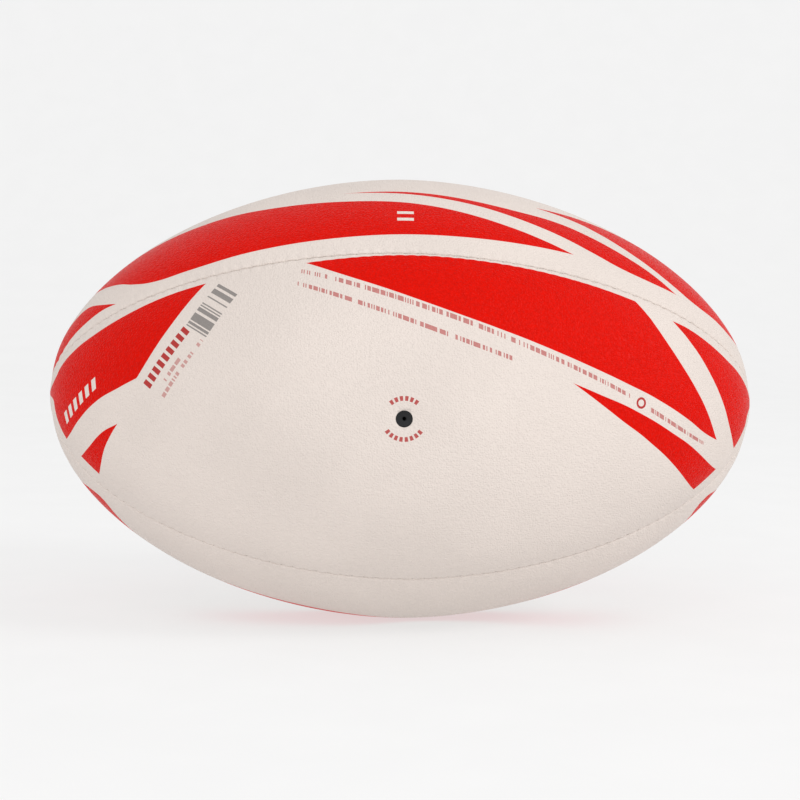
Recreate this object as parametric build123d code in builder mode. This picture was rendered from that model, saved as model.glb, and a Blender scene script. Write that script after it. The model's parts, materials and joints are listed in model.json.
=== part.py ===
from build123d import *

import os
from math import copysign, cos, pi, radians, sin

# Four-panel rugby ball, size 4, hand stitched, with an inner bladder and a needle valve.
#
# Frame: origin at the ball's centre, +X along the long axis, +Z up, the valve on -Y.
# All sizes are in millimetres. An inset is a depth below the ball's outer surface.
# A roll angle turns about X: 0 is the valve's side (-Y) and 90 is the top (+Z).

# Outside shape
HALF_LENGTH = 140.0
HALF_WIDTH = 87.0
PROFILE_POWER = 1.87  # 2 gives an ellipse, and a smaller power gives more pointed ends
PROFILE_STEPS = 10  # spline spans from an end of the ball to its middle

# Panels: a rubber cover backed by three plies of cloth, with both long edges turned in
FRONT_PANEL_TOP_EDGE = 43.15  # roll angle; the valve sits a little above the panel's midline
PANEL_ARC = 90.0
COVER_THICKNESS = 1.1
PLY_THICKNESS = 0.4
GLUE_LINE = 0.03
PLY_NAMES = ("outer_ply", "middle_ply", "inner_ply")
PANEL_DEPTH = 2.5  # how far the turned edges reach in
TURNED_EDGE = 1.2  # thickness of a turned edge
EDGE_ROUNDING = 0.8
SEAM_GAP = 0.4
TIP_RADIUS = 1.5  # the four panel tips stop this far from the long axis

# Seam threads: two strands inside each seam, joined by the stitches that pierce its edges
STRAND_THICKNESS = 0.6
STITCH_RADIUS = 0.25
STITCH_PITCH = 4.5
STITCH_DEPTH = 1.75
SEAM_END_RADIUS = 9.0  # no stitching nearer to the long axis than this
STRAND_ROOM = STRAND_THICKNESS + 0.1

# Bladder
LINING_GAP = 0.5
BLADDER_THICKNESS = 0.9
BLADDER_INSET = PANEL_DEPTH + LINING_GAP
BLADDER_INNER_INSET = BLADDER_INSET + BLADDER_THICKNESS

# Valve, on the -Y axis
PLUG_RECESS = 0.4
PLUG_HEAD_RADIUS = 3.0
PLUG_HEAD_DEPTH = 3.2
PLUG_NECK_RADIUS = 2.2
PLUG_BULB_RADIUS = 2.9
PLUG_BULB_DEPTH = 12.0
PLUG_BULB_LENGTH = 2.5
PLUG_NOSE_RADIUS = 1.5
PLUG_END_DEPTH = 17.0
PLUG_CLEARANCE = 0.05
NEEDLE_HOLE_RADIUS = 0.6
NEEDLE_HOLE_END = 12.5  # the rubber below this depth seals itself
NEEDLE_FUNNEL_RADIUS = 1.1
NEEDLE_FUNNEL_LENGTH = 0.5
SLEEVE_RADIUS = 4.6
SLEEVE_TOP_GAP = 0.2  # below the cover's skin
SLEEVE_END_DEPTH = 19.0
SLEEVE_EXIT_RADIUS = 1.0
SLEEVE_CLEARANCE = 0.1
BOOT_FLANGE_RADIUS = 12.0
BOOT_FLANGE_THICKNESS = 1.0
PATCH_RADIUS = 16.0
PATCH_THICKNESS = 0.4

# Roll angle of each panel's first edge; the panel runs down from it by PANEL_ARC
PANEL_STARTS = {
    "front": FRONT_PANEL_TOP_EDGE,
    "top": FRONT_PANEL_TOP_EDGE + PANEL_ARC,
    "back": FRONT_PANEL_TOP_EDGE + 2 * PANEL_ARC,
    "bottom": FRONT_PANEL_TOP_EDGE - PANEL_ARC,
}
# Roll angle of each seam
SEAMS = {
    "front_top": FRONT_PANEL_TOP_EDGE,
    "top_back": FRONT_PANEL_TOP_EDGE + PANEL_ARC,
    "back_bottom": FRONT_PANEL_TOP_EDGE + 2 * PANEL_ARC,
    "bottom_front": FRONT_PANEL_TOP_EDGE - PANEL_ARC,
}


def meridian_plane(roll):
    """The plane through the long axis whose local +Y points outwards at a roll angle."""
    angle = radians(roll)
    return Plane(origin=(0, 0, 0), x_dir=(1, 0, 0), z_dir=(0, -sin(angle), -cos(angle)))


def meridian_points(inset):
    """Points of a meridian from one end of the ball to the other."""
    half_length = HALF_LENGTH - inset
    half_width = HALF_WIDTH - inset
    points = [(-half_length, 0)]
    for step in range(1, 2 * PROFILE_STEPS):
        angle = pi * step / (2 * PROFILE_STEPS)
        along = abs(cos(angle)) ** (2 / PROFILE_POWER)
        across = sin(angle) ** (2 / PROFILE_POWER)
        points.append((-copysign(along, cos(angle)) * half_length, across * half_width))
    points.append((half_length, 0))
    return points


def meridian_area(plane, depths):
    """A face between two meridians, at an outer and an inner depth, on a lengthwise plane."""
    with BuildSketch(plane) as area:
        for depth, mode in zip(depths, (Mode.ADD, Mode.SUBTRACT)):
            with BuildLine():
                Spline(*meridian_points(depth))
                Line((HALF_LENGTH - depth, 0), (depth - HALF_LENGTH, 0))
            make_face(mode=mode)
    return area.sketch


def revolved_wall(start, inset, thickness):
    """A panel-wide stretch of the ball's wall, between two depths."""
    section = meridian_area(meridian_plane(start), (inset, inset + thickness))
    revolve(section, axis=Axis.X, revolution_arc=PANEL_ARC)


def clear_seams(clearance):
    """Cut the part back from all four seams, so that its long edges stay parallel to them."""
    for roll in (FRONT_PANEL_TOP_EDGE, FRONT_PANEL_TOP_EDGE + PANEL_ARC):
        Box(
            3 * HALF_LENGTH,
            3 * HALF_WIDTH,
            2 * clearance,
            rotation=(-roll, 0, 0),
            mode=Mode.SUBTRACT,
        )


def clear_tips(radius=TIP_RADIUS):
    """Cut the part's ends back from the long axis."""
    Cylinder(radius, 3 * HALF_LENGTH, rotation=(0, 90, 0), mode=Mode.SUBTRACT)


def valve_cylinder(radius, mode):
    """A cylinder on the valve's axis, from the ball's centre out past its surface."""
    with Locations(Plane.XZ):
        Cylinder(
            radius,
            2 * HALF_WIDTH,
            align=(Align.CENTER, Align.CENTER, Align.MIN),
            mode=mode,
        )


def valve_turning(profile, mode=Mode.ADD):
    """A solid turned about the valve's axis from (radius, depth) points."""
    with BuildSketch(Plane.XY) as section:
        with BuildLine():
            Polyline(*[(radius, depth - HALF_WIDTH) for radius, depth in profile], close=True)
        make_face()
    revolve(section.sketch, axis=Axis.Y, mode=mode)


def finish(part, name):
    """Label a finished piece and write its STEP file."""
    part.label = name
    export_step(part, f"parts/{name}.step")


os.makedirs("parts", exist_ok=True)

# Covers: the skin and its two turned edges, which leave a shallow tray for the plies
for panel, start in PANEL_STARTS.items():
    with BuildPart() as tray:
        revolved_wall(start, COVER_THICKNESS, PANEL_DEPTH)
        clear_seams(SEAM_GAP / 2 + TURNED_EDGE)

    with BuildPart() as cover:
        revolved_wall(start, 0, PANEL_DEPTH)
        clear_seams(SEAM_GAP / 2)
        clear_tips()
        add(tray.part, mode=Mode.SUBTRACT)
        seam_edges = cover.edges().sort_by(SortBy.LENGTH)[-2:]
        fillet(seam_edges, EDGE_ROUNDING)
        if panel == "front":
            valve_cylinder(PLUG_HEAD_RADIUS + PLUG_CLEARANCE, Mode.SUBTRACT)
    finish(cover.part, f"cover_{panel}")

# Plies: three cloth layers inside each cover, clear of the seam threads
ply_seam_clearance = SEAM_GAP / 2 + TURNED_EDGE + STRAND_ROOM
for panel, start in PANEL_STARTS.items():
    for layer, ply_name in enumerate(PLY_NAMES):
        ply_inset = COVER_THICKNESS + GLUE_LINE + layer * (PLY_THICKNESS + GLUE_LINE)
        with BuildPart() as ply:
            revolved_wall(start, ply_inset, PLY_THICKNESS)
            clear_seams(ply_seam_clearance)
            clear_tips()
            if panel == "front":
                valve_cylinder(SLEEVE_RADIUS + SLEEVE_CLEARANCE, Mode.SUBTRACT)
        finish(ply.part, f"{ply_name}_{panel}")

# Seam threads: each stitch pierces both turned edges and joins the strands behind them
strand_half = STRAND_THICKNESS / 2
strand_offset = SEAM_GAP / 2 + TURNED_EDGE + strand_half
strand_depths = (STITCH_DEPTH - strand_half, STITCH_DEPTH + strand_half)
for seam, roll in SEAMS.items():
    seam_plane = meridian_plane(roll)
    seam_line = seam_plane * Spline(*meridian_points(STITCH_DEPTH))
    stitch_count = int((seam_line.length - 2 * SEAM_END_RADIUS) / STITCH_PITCH) - 1
    first_stitch = (seam_line.length - (stitch_count - 1) * STITCH_PITCH) / 2
    stitch_planes = []
    for stitch in range(stitch_count):
        station = (first_stitch + stitch * STITCH_PITCH) / seam_line.length
        stitch_planes.append(
            Plane(origin=seam_line @ station, x_dir=seam_line % station, z_dir=seam_plane.z_dir)
        )

    with BuildPart() as thread:
        for side in (-1, 1):
            strand_plane = seam_plane.offset(side * strand_offset)
            extrude(meridian_area(strand_plane, strand_depths), strand_half, both=True)
        clear_tips(SEAM_END_RADIUS)
        with Locations(*stitch_planes):
            Cylinder(STITCH_RADIUS, 2 * strand_offset)
    finish(thread.part, f"seam_thread_{seam}")

# Bladder: one closed rubber skin, open only where the valve boot comes through
with BuildPart() as bladder:
    for start in PANEL_STARTS.values():
        revolved_wall(start, BLADDER_INSET, BLADDER_THICKNESS)
    valve_cylinder(SLEEVE_RADIUS + SLEEVE_CLEARANCE, Mode.SUBTRACT)
finish(bladder.part, "bladder")

# Valve boot: a flange on the bladder's inner face, and a sleeve that grips the plug
boot_top = COVER_THICKNESS + SLEEVE_TOP_GAP
boot_flange_inset = BLADDER_INNER_INSET + GLUE_LINE
with BuildPart() as valve_boot:
    revolved_wall(PANEL_ARC / 2, boot_flange_inset, BOOT_FLANGE_THICKNESS)
    valve_cylinder(BOOT_FLANGE_RADIUS, Mode.INTERSECT)
    valve_turning(
        (
            (0, boot_top),
            (SLEEVE_RADIUS, boot_top),
            (SLEEVE_RADIUS, SLEEVE_END_DEPTH),
            (0, SLEEVE_END_DEPTH),
        )
    )
    valve_turning(
        (
            (0, 0),
            (PLUG_HEAD_RADIUS + PLUG_CLEARANCE, 0),
            (PLUG_HEAD_RADIUS + PLUG_CLEARANCE, PLUG_HEAD_DEPTH + PLUG_CLEARANCE),
            (PLUG_NECK_RADIUS + PLUG_CLEARANCE, PLUG_HEAD_DEPTH + PLUG_CLEARANCE),
            (PLUG_NECK_RADIUS + PLUG_CLEARANCE, PLUG_BULB_DEPTH - PLUG_CLEARANCE),
            (PLUG_BULB_RADIUS + PLUG_CLEARANCE, PLUG_BULB_DEPTH - PLUG_CLEARANCE),
            (PLUG_BULB_RADIUS + PLUG_CLEARANCE, PLUG_END_DEPTH + PLUG_CLEARANCE),
            (SLEEVE_EXIT_RADIUS, PLUG_END_DEPTH + PLUG_CLEARANCE),
            (SLEEVE_EXIT_RADIUS, 2 * SLEEVE_END_DEPTH),
            (0, 2 * SLEEVE_END_DEPTH),
        ),
        mode=Mode.SUBTRACT,
    )
finish(valve_boot.part, "valve_boot")

# Valve plug: a headed rubber stopper with a blind needle hole
with BuildPart() as valve_plug:
    valve_turning(
        (
            (0, NEEDLE_HOLE_END),
            (NEEDLE_HOLE_RADIUS, NEEDLE_HOLE_END),
            (NEEDLE_HOLE_RADIUS, PLUG_RECESS + NEEDLE_FUNNEL_LENGTH),
            (NEEDLE_FUNNEL_RADIUS, PLUG_RECESS),
            (PLUG_HEAD_RADIUS, PLUG_RECESS),
            (PLUG_HEAD_RADIUS, PLUG_HEAD_DEPTH),
            (PLUG_NECK_RADIUS, PLUG_HEAD_DEPTH),
            (PLUG_NECK_RADIUS, PLUG_BULB_DEPTH),
            (PLUG_BULB_RADIUS, PLUG_BULB_DEPTH),
            (PLUG_BULB_RADIUS, PLUG_BULB_DEPTH + PLUG_BULB_LENGTH),
            (PLUG_NOSE_RADIUS, PLUG_END_DEPTH),
            (0, PLUG_END_DEPTH),
        )
    )
finish(valve_plug.part, "valve_plug")

# Valve patch: a cloth ring on the lining, round the valve
with BuildPart() as valve_patch:
    revolved_wall(PANEL_ARC / 2, PANEL_DEPTH, PATCH_THICKNESS)
    valve_cylinder(PATCH_RADIUS, Mode.INTERSECT)
    valve_cylinder(SLEEVE_RADIUS + SLEEVE_CLEARANCE, Mode.SUBTRACT)
finish(valve_patch.part, "valve_patch")
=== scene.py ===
import json
from math import atan2, cos, degrees, exp, floor, pi, radians, sin, sqrt

import bmesh
import bpy
import numpy as np
from mathutils import Matrix, Vector


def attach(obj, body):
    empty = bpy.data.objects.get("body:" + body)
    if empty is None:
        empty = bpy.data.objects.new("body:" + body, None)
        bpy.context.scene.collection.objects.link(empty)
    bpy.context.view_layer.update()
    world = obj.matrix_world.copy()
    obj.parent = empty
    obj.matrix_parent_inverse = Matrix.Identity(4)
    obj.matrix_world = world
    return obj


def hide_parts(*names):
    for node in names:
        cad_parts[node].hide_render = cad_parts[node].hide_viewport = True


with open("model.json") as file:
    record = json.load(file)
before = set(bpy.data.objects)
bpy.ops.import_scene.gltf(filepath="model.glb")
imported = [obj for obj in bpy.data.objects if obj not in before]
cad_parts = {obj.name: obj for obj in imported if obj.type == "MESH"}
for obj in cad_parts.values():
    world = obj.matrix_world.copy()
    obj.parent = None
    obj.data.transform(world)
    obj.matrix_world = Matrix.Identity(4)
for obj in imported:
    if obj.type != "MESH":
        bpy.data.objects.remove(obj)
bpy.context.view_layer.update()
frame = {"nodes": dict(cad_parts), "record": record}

# Metres. X runs along the ball's long axis, Z is up and the valve faces -Y.
# A roll angle turns about X: 0 is the valve's side and 90 is the top.
# A bend angle runs along the ball: -90 and 90 are its two ends and 0 is its waist.
# A step is a place across a panel, counted from the seam towards the panel's midline.

# Ball and seams
HALF_LENGTH = 0.140
HALF_WIDTH = 0.087
PROFILE_POWER = 1.87
# Past this x the ends are pressed flatter, by this much per square of the distance
END_CAP_START = 0.131
END_CAP_FLATTENING = 12.0
PANEL_ARC = 90.0
FRONT_TOP_SEAM = 43.15
STITCH_PITCH = 0.0045
STITCHED_END = 0.009
PANEL_MIDDLES = {
    "front": FRONT_TOP_SEAM - PANEL_ARC / 2,
    "top": FRONT_TOP_SEAM + PANEL_ARC / 2,
    "back": FRONT_TOP_SEAM + 1.5 * PANEL_ARC,
    "bottom": FRONT_TOP_SEAM - 1.5 * PANEL_ARC,
}
# Shape of a panel's edge
TIP_FADE_RADIUS = 0.003
TIP_RADIUS = 0.0007
STEPS_PER_STITCH = 8
SEAM_HALF_GAP = 0.000004
GAP_OPENING = 0.000065
TURNED_DEPTHS = (0.0014, 0.0008, 0.0003)
SHOULDER_STEPS = (
    0.0, 0.0001, 0.0003, 0.0006, 0.001, 0.0015, 0.0022, 0.0032, 0.0046, 0.0066, 0.0094, 0.013,
)
SHOULDER_ROOM = 1.6  # a panel this many times wider than its shoulders keeps them at full size
SHOULDER_RADIUS = 0.0013
SHOULDER_SHARE = 0.6
VALLEY_DEPTH = 0.0009
VALLEY_WIDTH = 0.0075
PUCKER_DEPTH = 0.00035
PUCKER_WIDTH = 0.0024
COVER_THICKNESS = 0.0011

# Valve
VALVE_HOLE_RADIUS = 0.00305
VALVE_DIP = 0.00035
VALVE_DIP_WIDTH = 0.0022
VALVE_DIP_REACH = 4 * VALVE_DIP_WIDTH

# Floor and camera
FLOOR_Z = -HALF_WIDTH
SWEEP_FRONT = -3.0
SWEEP_BACK = 1.2
SWEEP_RADIUS = 0.9
SWEEP_TOP = 3.0
SWEEP_WIDTH = 8.0
SWEEP_STEPS = 12
CAMERA_AZIMUTH = 0.93
CAMERA_ELEVATION = 4.77
CAMERA_ROLL = 0.95
CAMERA_DISTANCE = 0.770
CAMERA_AIM = (-0.0002, 0.0, -0.0005)
CAMERA_LENS = 86.7

WHITE_RUBBER = (0.718, 0.640, 0.592, 1)
RED_INK = (0.67, 0.0045, 0.0004, 1)
FINE_INK = (0.42, 0.046, 0.043, 1)
GREY_INK = (0.16, 0.15, 0.145, 1)


# ---------------------------------------------------------------- ball surface


def outward(roll):
    """Unit vector away from the long axis at a roll angle in degrees."""
    return Vector((0, -cos(radians(roll)), sin(radians(roll))))


def meridian_table(steps=4000):
    """Arc length, x and radius along a meridian, from one end of the ball to the other."""
    angle = np.linspace(0, pi, steps + 1)
    along = np.abs(np.cos(angle)) ** (2 / PROFILE_POWER)
    x = -np.sign(np.cos(angle)) * along * HALF_LENGTH
    beyond = (np.abs(x) - END_CAP_START).clip(0)
    x = x - np.sign(x) * END_CAP_FLATTENING * beyond ** 2
    radius = np.sin(angle).clip(0) ** (2 / PROFILE_POWER) * HALF_WIDTH
    arc = np.concatenate([[0], np.cumsum(np.hypot(np.diff(x), np.diff(radius)))])
    return arc, x, radius


ARC, MERIDIAN_X, MERIDIAN_RADIUS = meridian_table()
MIDDLE_ARC = ARC[-1] / 2


def meridian_point(arc):
    """x, radius and outward normal (along x, away from the axis) at an arc length."""
    x = float(np.interp(arc, ARC, MERIDIAN_X))
    radius = float(np.interp(arc, ARC, MERIDIAN_RADIUS))
    step = 0.0004
    before = min(max(arc - step, 0), ARC[-1] - 2 * step)
    rise = np.interp(before + 2 * step, ARC, MERIDIAN_RADIUS) - np.interp(before, ARC, MERIDIAN_RADIUS)
    run = np.interp(before + 2 * step, ARC, MERIDIAN_X) - np.interp(before, ARC, MERIDIAN_X)
    length = float(np.hypot(rise, run))
    return x, radius, (-float(rise) / length, float(run) / length)


def surface_point(bend, roll):
    """The point of the ball's surface at a bend angle and a roll angle, and its normal."""
    table_bend = np.degrees(np.arctan2(MERIDIAN_X / HALF_LENGTH, MERIDIAN_RADIUS / HALF_WIDTH))
    x, radius, normal = meridian_point(float(np.interp(bend, table_bend, ARC)))
    point = Vector((x, 0, 0)) + radius * outward(roll)
    return point, Vector((normal[0], 0, 0)) + normal[1] * outward(roll)


# ---------------------------------------------------------------- materials


class Recipe:
    """A material's node tree, with short ways to add the nodes that these finishes use."""

    def __init__(self, name):
        self.material = bpy.data.materials.new(name)
        self.material.use_nodes = True
        self.tree = self.material.node_tree
        self.tree.nodes.clear()
        self.shader = self.tree.nodes.new("ShaderNodeBsdfPrincipled")
        output = self.tree.nodes.new("ShaderNodeOutputMaterial")
        self.tree.links.new(self.shader.outputs[0], output.inputs["Surface"])
        self.place = self.tree.nodes.new("ShaderNodeTexCoord").outputs["Object"]

    def feed(self, socket, value):
        if isinstance(value, bpy.types.NodeSocket):
            self.tree.links.new(value, socket)
        else:
            socket.default_value = value

    def math(self, operation, *values, clamp=False):
        node = self.tree.nodes.new("ShaderNodeMath")
        node.operation = operation
        node.use_clamp = clamp
        for socket, value in zip(node.inputs, values):
            self.feed(socket, value)
        return node.outputs[0]

    def split(self, vector):
        node = self.tree.nodes.new("ShaderNodeSeparateXYZ")
        self.feed(node.inputs[0], vector)
        return node.outputs

    def mix(self, amount, first, second):
        node = self.tree.nodes.new("ShaderNodeMix")
        node.data_type = "RGBA"
        self.feed(node.inputs[0], amount)
        self.feed(node.inputs[6], first)
        self.feed(node.inputs[7], second)
        return node.outputs[2]

    def noise(self, scale, detail=2.0, roughness=0.5, vector=None):
        node = self.tree.nodes.new("ShaderNodeTexNoise")
        self.feed(node.inputs["Vector"], vector or self.place)
        node.inputs["Scale"].default_value = scale
        node.inputs["Detail"].default_value = detail
        node.inputs["Roughness"].default_value = roughness
        return node.outputs["Fac"]

    def cells(self, scale, feature="F1", randomness=1.0, vector=None):
        node = self.tree.nodes.new("ShaderNodeTexVoronoi")
        node.feature = feature
        self.feed(node.inputs["Vector"], vector or self.place)
        node.inputs["Scale"].default_value = scale
        node.inputs["Randomness"].default_value = randomness
        return node.outputs["Distance"]

    def span(self, value, low, high, to_low=0.0, to_high=1.0):
        node = self.tree.nodes.new("ShaderNodeMapRange")
        for socket, number in zip(node.inputs, (value, low, high, to_low, to_high)):
            self.feed(socket, number)
        return node.outputs[0]

    def bump(self, height, strength, depth, under=None):
        node = self.tree.nodes.new("ShaderNodeBump")
        node.inputs["Strength"].default_value = strength
        node.inputs["Distance"].default_value = depth
        self.feed(node.inputs["Height"], height)
        if under is not None:
            self.feed(node.inputs["Normal"], under)
        return node.outputs[0]

    def curve(self, across, points, low, high):
        """A curve through (across, height) points; a third item marks a sharp corner."""
        node = self.tree.nodes.new("ShaderNodeFloatCurve")
        first, last = points[0][0], points[-1][0]
        curve = node.mapping.curves[0]
        while len(curve.points) < len(points):
            curve.points.new(0.5, 0.5)
        for spot, point in zip(curve.points, points):
            spot.location = ((point[0] - first) / (last - first), (point[1] - low) / (high - low))
            spot.handle_type = "VECTOR" if len(point) > 2 else "AUTO"
        node.mapping.update()
        self.feed(node.inputs["Value"], self.span(across, first, last))
        return self.span(node.outputs[0], 0.0, 1.0, low, high)


ROLL_LIMIT = 60.0


class Print:
    """Ink on one panel, drawn in bend and roll angles, with roll 0 on the panel's midline."""

    sharpness = 9.0  # the ink goes from none to full in one ninth of a degree
    dash_size = 0.18
    gap_chance = 0.40

    def __init__(self, recipe, middle):
        self.recipe = recipe
        math = recipe.math
        x, y, z = recipe.split(recipe.place)
        self.radius = math("SQRT", math("ADD", math("MULTIPLY", y, y), math("MULTIPLY", z, z)))
        bend = math("ARCTAN2", math("DIVIDE", x, HALF_LENGTH), math("DIVIDE", self.radius, HALF_WIDTH))
        self.bend = math("DEGREES", bend)
        turn = recipe.tree.nodes.new("ShaderNodeVectorRotate")
        turn.rotation_type = "X_AXIS"
        turn.inputs["Angle"].default_value = radians(middle)
        recipe.feed(turn.inputs["Vector"], recipe.place)
        _, y, z = recipe.split(turn.outputs[0])
        self.roll = math("DEGREES", math("ARCTAN2", z, math("MULTIPLY", y, -1.0)))

    def shape(self, lower, upper):
        """Ink between a lower and an upper outline, each a row of (bend, roll) points."""
        math = self.recipe.math
        above = math("SUBTRACT", self.roll, self.recipe.curve(self.bend, lower, -ROLL_LIMIT, ROLL_LIMIT))
        below = math("SUBTRACT", self.recipe.curve(self.bend, upper, -ROLL_LIMIT, ROLL_LIMIT), self.roll)
        inside = math("MULTIPLY", math("MINIMUM", above, below), self.sharpness, clamp=True)
        return math("MULTIPLY", inside, self.within(self.bend, lower[0][0], lower[-1][0]))

    def within(self, value, low, high):
        math = self.recipe.math
        return math("MULTIPLY", math("GREATER_THAN", value, low), math("LESS_THAN", value, high))

    def row(self, line, half_height, seed):
        """A row of short dashes of uneven length, along a line of (bend, roll) points."""
        centre = self.recipe.curve(self.bend, line, -ROLL_LIMIT, ROLL_LIMIT)
        off = self.recipe.math("SUBTRACT", self.roll, centre)
        return self.dashes(self.bend, off, line[0][0], line[-1][0], self.dash_size, half_height, seed)

    def dashes(self, along, across, first, last, size, half_height, seed):
        """Dashes one or more steps long, split by gaps, across a line of the given half height."""
        math = self.recipe.math
        step = math("FLOOR", math("DIVIDE", math("ADD", along, seed), size))
        dash = math("GREATER_THAN", self.chance(step), self.gap_chance)
        height = self.within(across, -half_height, half_height)
        return math("MULTIPLY", math("MULTIPLY", dash, height), self.within(along, first, last))

    def chance(self, step):
        """A random number for each whole step."""
        noise = self.recipe.tree.nodes.new("ShaderNodeTexWhiteNoise")
        noise.noise_dimensions = "1D"
        self.recipe.feed(noise.inputs["W"], step)
        return noise.outputs["Value"]

    def strokes(self, along, first, last, pitch, share):
        """Even strokes across a line, each taking a share of the pitch."""
        math = self.recipe.math
        place_in_pitch = math("FRACT", math("DIVIDE", along, pitch))
        part = math("LESS_THAN", place_in_pitch, share)
        return math("MULTIPLY", part, self.within(along, first, last))

    def patch(self, bend, roll, towards_bend, towards_roll, middle):
        """Flat x and y on the panel, from a spot and towards another one, in metres."""
        spot, normal = surface_point(bend, roll + middle)
        towards, _ = surface_point(towards_bend, towards_roll + middle)
        along = (towards - spot).normalized()
        across = normal.cross(along).normalized()
        normal = along.cross(across)
        turned = Matrix((along, across, normal)).transposed().to_euler()
        node = self.recipe.tree.nodes.new("ShaderNodeMapping")
        node.vector_type = "TEXTURE"
        node.inputs["Location"].default_value = spot
        node.inputs["Rotation"].default_value = turned
        self.recipe.feed(node.inputs["Vector"], self.recipe.place)
        x, y, _ = self.recipe.split(node.outputs[0])
        return x, y


FRONT_SHAPES = {
    "left_blade": (
        [(-90, 2), (-80, 2), (-76.9, -1), (-75.9, -7), (-74.8, -14), (-73.2, -21), (-69.4, -29, 1),
         (-66.8, -20), (-62.7, -7.5), (-56.8, 3.3), (-50.2, 9.4), (-46, 12.5, 1), (-41.3, 24),
         (-37.9, 31.3), (-32.6, 42.3, 1)],
        [(-90, 4), (-80, 16), (-75.4, 24), (-72.4, 31), (-66.1, 35.6), (-59.1, 37.6), (-51.5, 39.6),
         (-41.9, 41.6), (-32.6, 42.3, 1)],
    ),
    "left_chip": (
        [(-63.2, -31.7, 1), (-57.1, -34.7, 1), (-56.2, -28.5), (-54.9, -19.4), (-53, -11.7),
         (-50.7, -4.9, 1)],
        [(-63.2, -31.7, 1), (-59.8, -21.5), (-55.6, -11.2), (-50.7, -4.9, 1)],
    ),
    "long_blade": (
        [(-15.5, 43.2, 1), (-9.8, 38.4), (-3.3, 34.0), (5.1, 29.0), (13.7, 24.6), (18.8, 22.1),
         (31.3, 15.4), (36.8, 12.1), (43, 7.9), (51, 0.2), (56.4, -7.2), (60.8, -12.9, 1)],
        [(-15.5, 43.2, 1), (-0.7, 44.1), (13.9, 43.9), (28.6, 43), (39.4, 41.9, 1), (41.9, 37.2),
         (44.7, 31.2), (48.6, 23.2), (52.9, 13.8), (56.7, 3.5), (60.8, -12.9, 1)],
    ),
    "end_blade": (
        [(47.9, 39.6, 1), (51.9, 33.3), (56.8, 23.6), (62.6, 7.0), (65.4, -6.0), (69.6, -29, 1),
         (73.1, -23.8), (75.9, -17.6), (78, -6), (90, -3)],
        [(47.9, 39.6, 1), (52.2, 39.6), (59.1, 37.6), (65.7, 34.6), (72.5, 31.6), (78.3, 24), (90, 3)],
    ),
    "low_blade": (
        [(26.1, 11.7, 1), (30.3, 7.2), (35.7, 0.9), (41.2, -5.9), (48, -17.5), (55.1, -36.2, 1),
         (62.2, -32.7, 1)],
        [(26.1, 11.7, 1), (30.9, 8.9), (38.2, 4.2), (46.9, -4.2), (53.9, -14), (62.2, -32.7, 1)],
    ),
}

TOP_SHAPES = {
    "wide_band": (
        [(-66, 14, 1), (-60.5, -12), (-57.2, -20.2), (-52.5, -29), (-48, -36), (-43.7, -39.3),
         (-36.8, -40.3), (-25, -39.9), (-5.8, -39.5), (10.9, -38.8), (27.5, -37.3, 1)],
        [(-66, 14, 1), (-50, -4.5), (-35.9, -13), (-28.5, -16), (-21.9, -19.2), (-11.6, -22.6),
         (3.5, -26.4), (16.9, -32), (27.5, -37.3, 1)],
    ),
    "thin_stripe": (
        [(-10.3, -17.5, 1), (3.5, -21.1), (11.2, -23.6), (19.1, -27.2), (25.5, -30.4), (30.7, -33.4),
         (36.4, -35.9), (42.4, -36.2), (49.8, -34.8, 1)],
        [(-10.3, -17.5, 1), (3.6, -19.1), (16.4, -21.9), (25.8, -22.6), (29.9, -24), (34.1, -25.8),
         (38.5, -27.8), (43.3, -30.2), (49.8, -34.8, 1)],
    ),
    "far_stripe": (
        [(21.3, -15.2, 1), (28.4, -16.4), (32.9, -18.7), (38.9, -22.8), (43.7, -26), (48.9, -29.6),
         (54.8, -32), (62.4, -29.3), (69.2, -25), (78, -4, 1)],
        [(21.3, -15.2, 1), (34, -9), (48, -3), (62, 2), (72, 3), (78, -4, 1)],
    ),
    "end_sliver": (
        [(-84, -30), (-77.8, -42), (-75.3, -41.5), (-69.8, -39), (-62.8, -38.7), (-57.3, -39),
         (-53.3, -40.6, 1)],
        [(-84, -8), (-77.1, -14), (-69.8, -18), (-63, -25), (-57.3, -35.2), (-53.3, -40.6, 1)],
    ),
    "back_blade": (
        [(-30, 38, 1), (-10, 26), (10, 16), (30, 6), (46, -2), (58, -3, 1)],
        [(-30, 38, 1), (-12, 39), (10, 39.5), (34, 38.5), (48, 26), (58, -3, 1)],
    ),
}

BOTTOM_SHAPES = {
    "left_chip": (
        [(-66, 20, 1), (-60, 10), (-54, 6), (-48, 12, 1)],
        [(-66, 20, 1), (-63, 29), (-60, 33.5), (-57, 34), (-54, 29), (-51, 22), (-48, 12, 1)],
    ),
    "right_chip": (
        [(54.8, 20, 1), (58, 12), (63, 10), (68, 14, 1)],
        [(54.8, 20, 1), (56.4, 27.5), (58, 33), (60, 34.5), (62.5, 33), (68, 14, 1)],
    ),
    "long_lens": (
        [(-38, 4, 1), (-22, 1), (0, -3), (24, -3), (46, -8, 1)],
        [(-38, 4, 1), (-30, 15.5), (-20, 18.7), (-8, 18), (4, 11.5), (14, 11.5), (24, 16), (32, 16.5),
         (46, -8, 1)],
    ),
    "end_blade": (
        [(-80, -20), (-66, -37), (-52, -39), (-40, -39.5, 1)],
        [(-80, 2), (-66, -6), (-52, -22), (-40, -39.5, 1)],
    ),
    "low_blade": (
        [(30, -39.5, 1), (50, -39), (66, -34), (80, -18)],
        [(30, -39.5, 1), (46, -30), (60, -18), (72, -6), (80, -2)],
    ),
}


def shade(colour, share):
    """A colour made darker by a share."""
    return tuple(share * c for c in colour)


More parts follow.
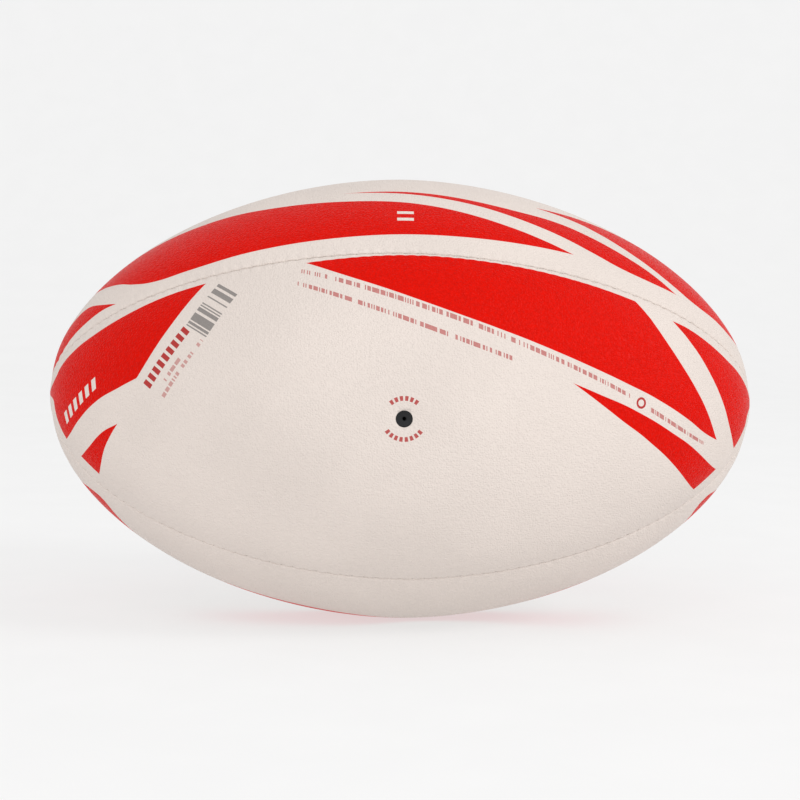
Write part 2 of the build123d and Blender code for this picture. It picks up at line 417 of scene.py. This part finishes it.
def grip_rubber(name, middle, shapes, marks):
    """Pimpled white rubber with red printed shapes."""
    recipe = Recipe(name)
    ink = Print(recipe, middle)
    red = 0.0
    for lower, upper in shapes.values():
        red = recipe.math("MAXIMUM", red, ink.shape(lower, upper))
    broad = recipe.noise(22.0, detail=3.0)
    speckle = recipe.noise(900.0, detail=2.0)
    white = recipe.mix(recipe.span(broad, 0.35, 0.65), WHITE_RUBBER, shade(WHITE_RUBBER, 0.955))
    red_ink = recipe.mix(recipe.span(speckle, 0.35, 0.7), RED_INK, shade(RED_INK, 0.86))
    colour = recipe.mix(red, white, red_ink)
    for ink_colour, amount in marks(recipe, ink, middle):
        colour = recipe.mix(amount, colour, ink_colour)
    recipe.feed(recipe.shader.inputs["Base Color"], colour)
    rubber_roughness = recipe.span(speckle, 0.3, 0.7, 0.42, 0.54)
    smoother_ink = recipe.span(red, 0, 1, 0.0, -0.12)
    recipe.feed(recipe.shader.inputs["Roughness"], recipe.math("ADD", rubber_roughness, smoother_ink))
    recipe.shader.inputs["Specular IOR Level"].default_value = 0.05
    pimples = recipe.span(recipe.cells(1250.0, randomness=0.8), 0.1, 0.75, 1.0, 0.0)
    wrinkles = recipe.noise(640.0, detail=3.0, roughness=0.6)
    fine = recipe.bump(pimples, 0.75, 0.00024)
    recipe.feed(recipe.shader.inputs["Normal"], recipe.bump(wrinkles, 0.32, 0.00028, under=fine))
    return recipe.material


def no_marks(recipe, ink, middle):
    return []


def front_marks(recipe, ink, middle):
    """Small generic marks on the front panel, none of which can be read."""
    math = recipe.math
    # Rows of short dashes beside the long blade
    upper_line = [(-16.1, 40.5), (-0.8, 31.1), (14.2, 23.0), (31.3, 12.8), (37.4, 8.4)]
    lower_line = [(-16.5, 36.6), (-0.8, 26.4), (16.1, 17.1)]
    end_line = [(41.6, 4.4), (48.5, -2.6), (56.2, -11.9)]
    fine = math("MAXIMUM", ink.row(upper_line, 0.66, 1000.0), ink.row(lower_line, 0.60, 2000.0))
    fine = math("MAXIMUM", fine, ink.row(end_line, 0.82, 3000.0))
    marks = [(FINE_INK, math("MULTIPLY", fine, 0.72))]

    # Ring beside the fine rows
    x, y = ink.patch(39.6, 6.4, 45.0, 1.0, middle)
    away = math("SQRT", math("ADD", math("MULTIPLY", x, x), math("MULTIPLY", y, y)))
    ring_radius = 0.0017
    ring_half_line = 0.00042
    ring = math("LESS_THAN", math("ABSOLUTE", math("SUBTRACT", away, ring_radius)), ring_half_line)
    marks.append((FINE_INK, ring))

    # Two arcs of short strokes round the valve
    x, y = ink.patch(0.0, -middle, 10.0, -middle, middle)
    away = math("SQRT", math("ADD", math("MULTIPLY", x, x), math("MULTIPLY", y, y)))
    above = math("DEGREES", math("ARCTAN2", x, y))
    below = math("DEGREES", math("ARCTAN2", x, math("MULTIPLY", y, -1.0)))
    stroke_pitch = 14.6
    stroke_share = 0.62
    upper = ink.strokes(math("ADD", above, 42.0), 0.0, 84.0, stroke_pitch, stroke_share)
    lower = ink.strokes(math("ADD", below, 56.0), 0.0, 112.0, stroke_pitch, stroke_share)
    arcs = math("MULTIPLY", math("MAXIMUM", upper, lower), ink.within(away, 0.0065, 0.0082))
    marks.append((FINE_INK, math("MULTIPLY", arcs, 0.92)))

    # Slanted white bars near the left end
    x, y = ink.patch(-68.9, -11.5, -54.8, 14.9, middle)
    slanted = math("SUBTRACT", x, math("MULTIPLY", y, 0.35))
    bars = ink.strokes(slanted, 0.0, 0.0275, 0.0046, 0.56)
    bars = math("MULTIPLY", bars, ink.within(y, -0.0021, 0.0021))
    marks.append((WHITE_RUBBER, bars))

    # A grey patch of uneven bars
    x, y = ink.patch(-33.7, 26.0, -28.2, 38.1, middle)
    bar_size = 0.00052
    bar = math("GREATER_THAN", ink.chance(math("FLOOR", math("DIVIDE", x, bar_size))), 0.46)
    patch = math("MULTIPLY", bar, ink.within(x, 0.0, 0.0195))
    patch = math("MULTIPLY", patch, ink.within(y, -0.0052, 0.0052))
    marks.append((GREY_INK, math("MULTIPLY", patch, 0.8)))

    # A bold row of strokes below the patch, with two fine rows beside it
    x, y = ink.patch(-43.6, 9.6, -35.5, 27.2, middle)
    bold = math("MULTIPLY", ink.strokes(x, 0.0, 0.0265, 0.0030, 0.62), ink.within(y, -0.0019, 0.0019))
    marks.append((FINE_INK, bold))
    dash_size = 0.0006
    half_height = 0.0008
    short_row = ink.dashes(x, math("ADD", y, 0.0054), 0.0050, 0.0160, dash_size, half_height, 4.0)
    long_row = ink.dashes(x, math("ADD", y, 0.0083), 0.0008, 0.0265, dash_size, half_height, 5.0)
    marks.append((FINE_INK, math("MULTIPLY", math("MAXIMUM", short_row, long_row), 0.55)))
    return marks


def top_marks(recipe, ink, middle):
    """Two short white bars on the wide band."""
    math = recipe.math
    x, y = ink.patch(-1.3, -32.0, 3.0, -32.0, middle)
    bar_offset = 0.0022
    bar_half_height = 0.0009
    off_bar = math("ABSOLUTE", math("SUBTRACT", math("ABSOLUTE", y), bar_offset))
    bars = math("LESS_THAN", off_bar, bar_half_height)
    return [(WHITE_RUBBER, math("MULTIPLY", bars, ink.within(x, 0.0, 0.0062)))]


def black_rubber(name, colour, roughness):
    """Moulded black rubber with a dusty bloom."""
    recipe = Recipe(name)
    bloom = recipe.noise(260.0, detail=4.0)
    dusty = tuple(1.3 * c + 0.002 for c in colour[:3]) + (1,)
    tone = recipe.mix(recipe.span(bloom, 0.45, 0.75), colour, dusty)
    recipe.feed(recipe.shader.inputs["Base Color"], tone)
    worn = recipe.span(bloom, 0.3, 0.7, roughness - 0.08, roughness + 0.1)
    recipe.feed(recipe.shader.inputs["Roughness"], worn)
    pores = recipe.noise(2400.0, detail=3.0)
    recipe.feed(recipe.shader.inputs["Normal"], recipe.bump(pores, 0.2, 0.00008))
    recipe.shader.inputs["Specular IOR Level"].default_value = 0.3
    return recipe.material


def woven(name, colour, threads):
    """Plain cotton weave, over and under along the ball and round it."""
    recipe = Recipe(name)
    math = recipe.math
    x, y, z = recipe.split(recipe.place)
    warp = math("SINE", math("MULTIPLY", x, threads))
    weft = math("SINE", math("MULTIPLY", math("ARCTAN2", z, y), 0.085 * threads))
    weave = math("MULTIPLY", warp, weft)
    fuzz = recipe.noise(1500.0, detail=3.0)
    dark = tuple(0.7 * c for c in colour[:3]) + (1,)
    tone = math("ADD", recipe.span(weave, -1, 1, 0.0, 0.6), recipe.span(fuzz, 0.3, 0.7, 0.0, 0.4))
    recipe.feed(recipe.shader.inputs["Base Color"], recipe.mix(tone, dark, colour))
    recipe.feed(recipe.shader.inputs["Roughness"], recipe.span(fuzz, 0.3, 0.7, 0.8, 0.95))
    recipe.feed(recipe.shader.inputs["Normal"], recipe.bump(weave, 0.5, 0.0002))
    return recipe.material


def waxed_thread(name, colour):
    """Twisted polyester thread with a dull wax coat."""
    recipe = Recipe(name)
    x, y, z = recipe.split(recipe.place)
    lay = recipe.math("ADD", recipe.math("ADD", x, y), z)
    twist = recipe.math("SINE", recipe.math("MULTIPLY", lay, 9000.0))
    soil = recipe.noise(300.0, detail=3.0)
    dark = tuple(0.62 * c for c in colour[:3]) + (1,)
    soiled = recipe.mix(recipe.span(soil, 0.35, 0.65), colour, dark)
    recipe.feed(recipe.shader.inputs["Base Color"], soiled)
    recipe.feed(recipe.shader.inputs["Roughness"], recipe.span(soil, 0.3, 0.7, 0.5, 0.7))
    recipe.feed(recipe.shader.inputs["Normal"], recipe.bump(twist, 0.4, 0.0001))
    return recipe.material


# ---------------------------------------------------------------- pieces


def add_piece(bm, name, material):
    """Make a bmesh an object that rides with the ball, shaded smooth."""
    mesh = bpy.data.meshes.new(name)
    bm.to_mesh(mesh)
    bm.free()
    piece = bpy.data.objects.new(name, mesh)
    bpy.context.scene.collection.objects.link(piece)
    mesh.materials.append(material)
    mesh.polygons.foreach_set("use_smooth", [True] * len(mesh.polygons))
    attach(piece, "root")
    return piece


def stitch_pull(arc):
    """1 at a stitch, 0 halfway between two, and 0 where the seam has no stitches."""
    if min(arc, ARC[-1] - arc) < STITCHED_END:
        return 0.0
    wave = 0.5 + 0.5 * cos(2 * pi * (arc - MIDDLE_ARC) / STITCH_PITCH)
    return wave ** 2


def panel_columns(radius, pull, middle_steps):
    """(distance from the seam's plane, depth) from a panel's turned edge to its midline."""
    half_width = radius * radians(PANEL_ARC / 2)
    shrink = min(1.0, half_width / (SHOULDER_STEPS[-1] * SHOULDER_ROOM))
    gap = (SEAM_HALF_GAP + GAP_OPENING * (1 - pull)) * min(1.0, shrink * 2)
    edge = edge_depth(0.0, shrink, pull)
    columns = [(gap, edge + depth) for depth in TURNED_DEPTHS]
    for step in SHOULDER_STEPS:
        columns.append((gap + step * shrink, edge_depth(step, shrink, pull)))
    start = columns[-1][0]
    for step in range(1, middle_steps + 1):
        across = start + (half_width - start) * step / middle_steps
        columns.append((across, edge_depth((across - gap) / shrink, shrink, pull)))
    return columns


def edge_depth(step, shrink, pull):
    """How far the cover's surface lies below the full round, at a distance from its edge."""
    rise = max(SHOULDER_RADIUS - step, 0.0)
    shoulder = SHOULDER_RADIUS - sqrt(SHOULDER_RADIUS ** 2 - rise ** 2)
    valley = VALLEY_DEPTH * exp(-(step / VALLEY_WIDTH) ** 2) * shrink
    pucker = PUCKER_DEPTH * pull * exp(-(step / PUCKER_WIDTH) ** 2)
    return SHOULDER_SHARE * shoulder + valley + pucker


def ball_panel(side, middle, material, middle_steps):
    """One cover: a stretch of the ball spun a quarter turn, its edges rounded and turned in."""
    start = middle + PANEL_ARC / 2
    step = STITCH_PITCH / STEPS_PER_STITCH
    tip = float(np.interp(TIP_RADIUS, MERIDIAN_RADIUS[: len(ARC) // 2], ARC[: len(ARC) // 2]))
    count = floor((MIDDLE_ARC - tip) / step)
    arcs = [MIDDLE_ARC + step * index for index in range(-count, count + 1)]
    stations = [meridian_point(arc) for arc in arcs]

    bm = bmesh.new()
    edge = [bm.verts.new(Vector((x, 0, 0)) + radius * outward(start)) for x, radius, _ in stations]
    for first, second in zip(edge, edge[1:]):
        bm.edges.new((first, second))
    half_columns = len(TURNED_DEPTHS) + len(SHOULDER_STEPS) + middle_steps - 1
    turns = 2 * half_columns
    bmesh.ops.spin(
        bm, geom=bm.verts[:] + bm.edges[:], cent=(0, 0, 0), axis=(1, 0, 0),
        angle=radians(PANEL_ARC), steps=turns, use_duplicate=False,
    )
    lengths = np.array([x for x, _, _ in stations])
    columns_at = [
        panel_columns(radius, stitch_pull(arc), middle_steps)
        for arc, (_, radius, _) in zip(arcs, stations)
    ]
    for vert in bm.verts:
        spun_roll = degrees(atan2(vert.co.z, -vert.co.y))
        column = round(((start - spun_roll) % 360.0) / PANEL_ARC * turns) % (4 * turns)
        column = min(column, turns)
        index = int(np.argmin(np.abs(lengths - vert.co.x)))
        near_start = column <= half_columns
        x, radius, normal = stations[index]
        across, depth = columns_at[index][column if near_start else turns - column]
        offset = degrees(min(across / radius, radians(PANEL_ARC / 2)))
        roll = start - offset if near_start else start - PANEL_ARC + offset
        away = outward(roll)
        depth *= min(1.0, radius / TIP_FADE_RADIUS)
        vert.co = Vector((x - depth * normal[0], 0, 0)) + (radius - depth * normal[1]) * away
        if side == "front" and vert.co.y < 0:
            reach = sqrt(vert.co.x ** 2 + vert.co.z ** 2) - VALVE_HOLE_RADIUS
            if reach < VALVE_DIP_REACH:
                vert.co.y += VALVE_DIP * exp(-(max(reach, 0.0) / VALVE_DIP_WIDTH) ** 2)
    face = max(bm.faces, key=lambda f: f.calc_area())
    if face.normal.dot(face.calc_center_median()) < 0:
        bmesh.ops.reverse_faces(bm, faces=bm.faces[:])
    panel = add_piece(bm, f"panel_{side}", material)
    wall = panel.modifiers.new("wall", "SOLIDIFY")
    wall.thickness = COVER_THICKNESS
    wall.offset = -1
    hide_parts(f"cover_{side}")
    return panel


def cut_valve_hole(panel):
    """Take the valve's hole out of the front panel."""
    bm = bmesh.new()
    turned = Matrix.Translation((0, -HALF_WIDTH, 0)) @ Matrix.Rotation(pi / 2, 4, "X")
    bmesh.ops.create_cone(
        bm, cap_ends=True, segments=64, radius1=VALVE_HOLE_RADIUS, radius2=VALVE_HOLE_RADIUS,
        depth=0.01, matrix=turned,
    )
    mesh = bpy.data.meshes.new("valve_drill")
    bm.to_mesh(mesh)
    bm.free()
    drill = bpy.data.objects.new("valve_drill", mesh)
    bpy.context.scene.collection.objects.link(drill)
    hole = panel.modifiers.new("valve_hole", "BOOLEAN")
    hole.object = drill
    hole.operation = "DIFFERENCE"
    hole.solver = "EXACT"
    bpy.context.view_layer.update()
    evaluated = panel.evaluated_get(bpy.context.evaluated_depsgraph_get())
    cut = bpy.data.meshes.new_from_object(evaluated)
    panel.modifiers.clear()
    old = panel.data
    panel.data = cut
    bpy.data.meshes.remove(old)
    bpy.data.objects.remove(drill)
    bpy.data.meshes.remove(mesh)


def valve_plug(material):
    """The rubber stopper turned about the valve's axis: a dished head over a long neck."""
    outline = (
        (0.0, 0.0125), (0.0006, 0.0125), (0.0006, 0.0012), (0.0007, 0.0009), (0.0011, 0.00072),
        (0.0019, 0.00066), (0.0023, 0.00055), (0.00255, 0.00042), (0.0028, 0.00042), (0.00295, 0.00052),
        (0.0030, 0.00075), (0.0030, 0.0031), (0.0029, 0.0032), (0.0022, 0.0032), (0.0022, 0.0120),
        (0.0029, 0.0121), (0.0029, 0.0145), (0.0015, 0.0170), (0.0, 0.0170),
    )
    bm = bmesh.new()
    verts = [bm.verts.new((radius, depth - HALF_WIDTH, 0)) for radius, depth in outline]
    for first, second in zip(verts, verts[1:]):
        bm.edges.new((first, second))
    bmesh.ops.spin(
        bm, geom=bm.verts[:] + bm.edges[:], cent=(0, 0, 0), axis=(0, 1, 0),
        angle=2 * pi, steps=48, use_merge=True, use_duplicate=False,
    )
    bmesh.ops.remove_doubles(bm, verts=bm.verts[:], dist=1e-6)
    bmesh.ops.recalc_face_normals(bm, faces=bm.faces[:])
    plug = add_piece(bm, "valve_stopper", material)
    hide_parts("valve_plug")
    return plug


# ---------------------------------------------------------------- build

PANEL_PRINTS = {
    "front": (FRONT_SHAPES, front_marks),
    "top": (TOP_SHAPES, top_marks),
    "back": (FRONT_SHAPES, no_marks),
    "bottom": (BOTTOM_SHAPES, no_marks),
}
MIDDLE_STEPS = {"front": 23, "top": 12, "back": 12, "bottom": 12}

for side, (shapes, marks) in PANEL_PRINTS.items():
    rubber = grip_rubber(f"grip_rubber_{side}", PANEL_MIDDLES[side], shapes, marks)
    panel = ball_panel(side, PANEL_MIDDLES[side], rubber, MIDDLE_STEPS[side])
    if side == "front":
        cut_valve_hole(panel)

valve_plug(black_rubber("valve_rubber", (0.0065, 0.0070, 0.0080, 1), 0.55))

node_finishes = {
    "lining_cloth": woven("lining_cloth", (0.62, 0.56, 0.44, 1), 4200.0),
    "waxed_thread": waxed_thread("waxed_thread", (0.62, 0.56, 0.50, 1)),
    "bladder_rubber": black_rubber("bladder_rubber", (0.020, 0.020, 0.022, 1), 0.45),
}
for row in frame["record"]["subparts"]:
    finish = node_finishes.get(row["material_slot"])
    if finish:
        node = frame["nodes"][row["node"]]
        node.data.materials.clear()
        node.data.materials.append(finish)


# ---------------------------------------------------------------- studio


def sweep():
    """A pale floor that curves up into a backdrop behind the ball."""
    bm = bmesh.new()
    outline = [(SWEEP_FRONT, FLOOR_Z), (SWEEP_BACK, FLOOR_Z)]
    for index in range(1, SWEEP_STEPS + 1):
        angle = radians(90 * index / SWEEP_STEPS)
        y = SWEEP_BACK + SWEEP_RADIUS * sin(angle)
        outline.append((y, FLOOR_Z + SWEEP_RADIUS * (1 - cos(angle))))
    outline.append((SWEEP_BACK + SWEEP_RADIUS, SWEEP_TOP))
    verts = [bm.verts.new((-SWEEP_WIDTH / 2, y, z)) for y, z in outline]
    edges = [bm.edges.new(pair) for pair in zip(verts, verts[1:])]
    swept = bmesh.ops.extrude_edge_only(bm, edges=edges)
    moved = [item for item in swept["geom"] if isinstance(item, bmesh.types.BMVert)]
    bmesh.ops.translate(bm, verts=moved, vec=(SWEEP_WIDTH, 0, 0))
    mesh = bpy.data.meshes.new("studio_sweep")
    bm.to_mesh(mesh)
    bm.free()
    mesh.polygons.foreach_set("use_smooth", [True] * len(mesh.polygons))
    backdrop = bpy.data.objects.new("studio_sweep", mesh)
    bpy.context.scene.collection.objects.link(backdrop)
    paper = Recipe("studio_paper")
    tone = paper.span(paper.noise(30.0, detail=2.0), 0.3, 0.7)
    shaded = paper.mix(tone, (0.30, 0.30, 0.30, 1), (0.31, 0.31, 0.31, 1))
    paper.feed(paper.shader.inputs["Base Color"], shaded)
    paper.shader.inputs["Roughness"].default_value = 0.9
    paper.shader.inputs["Specular IOR Level"].default_value = 0.0
    paper.shader.inputs["Emission Color"].default_value = (1.0, 1.0, 1.0, 1)
    paper.shader.inputs["Emission Strength"].default_value = 0.605
    mesh.materials.append(paper.material)


def softbox(name, place, aim, size, power):
    """A square area light that looks at a point."""
    lamp = bpy.data.lights.new(name, "AREA")
    lamp.size = size
    lamp.energy = power
    lamp.color = (1.0, 0.995, 0.985)
    box = bpy.data.objects.new(name, lamp)
    box.location = place
    box.rotation_euler = (Vector(aim) - Vector(place)).to_track_quat("-Z", "Y").to_euler()
    bpy.context.scene.collection.objects.link(box)


sweep()
softbox("key_light", (-0.6, -1.5, 1.5), (0, 0, 0), 1.6, 5.2)
softbox("side_light", (1.5, -0.62, 0.86), (0, 0, 0), 0.5, 10.0)
softbox("low_light", (-0.35, -2.0, 0.20), (0, 0, 0), 1.0, 9.6)

world = bpy.data.worlds.new("studio_world")
world.use_nodes = True
world.node_tree.nodes["Background"].inputs["Color"].default_value = (1.0, 1.0, 1.0, 1)
world.node_tree.nodes["Background"].inputs["Strength"].default_value = 0.80
bpy.context.scene.world = world
bpy.context.scene.view_settings.view_transform = "Standard"

lens = bpy.data.cameras.new("camera")
lens.lens = CAMERA_LENS
lens.sensor_width = 36.0
lens.clip_start = 0.01
camera = bpy.data.objects.new("camera", lens)
turn = Matrix.Rotation(radians(-CAMERA_AZIMUTH), 4, "Z")
tilt = Matrix.Rotation(radians(90 - CAMERA_ELEVATION), 4, "X")
roll = Matrix.Rotation(radians(CAMERA_ROLL), 4, "Z")
facing = turn @ tilt @ roll
place = Vector(CAMERA_AIM) + facing.to_3x3() @ Vector((0, 0, CAMERA_DISTANCE))
camera.matrix_world = Matrix.Translation(place) @ facing
bpy.context.scene.collection.objects.link(camera)
bpy.context.scene.camera = camera
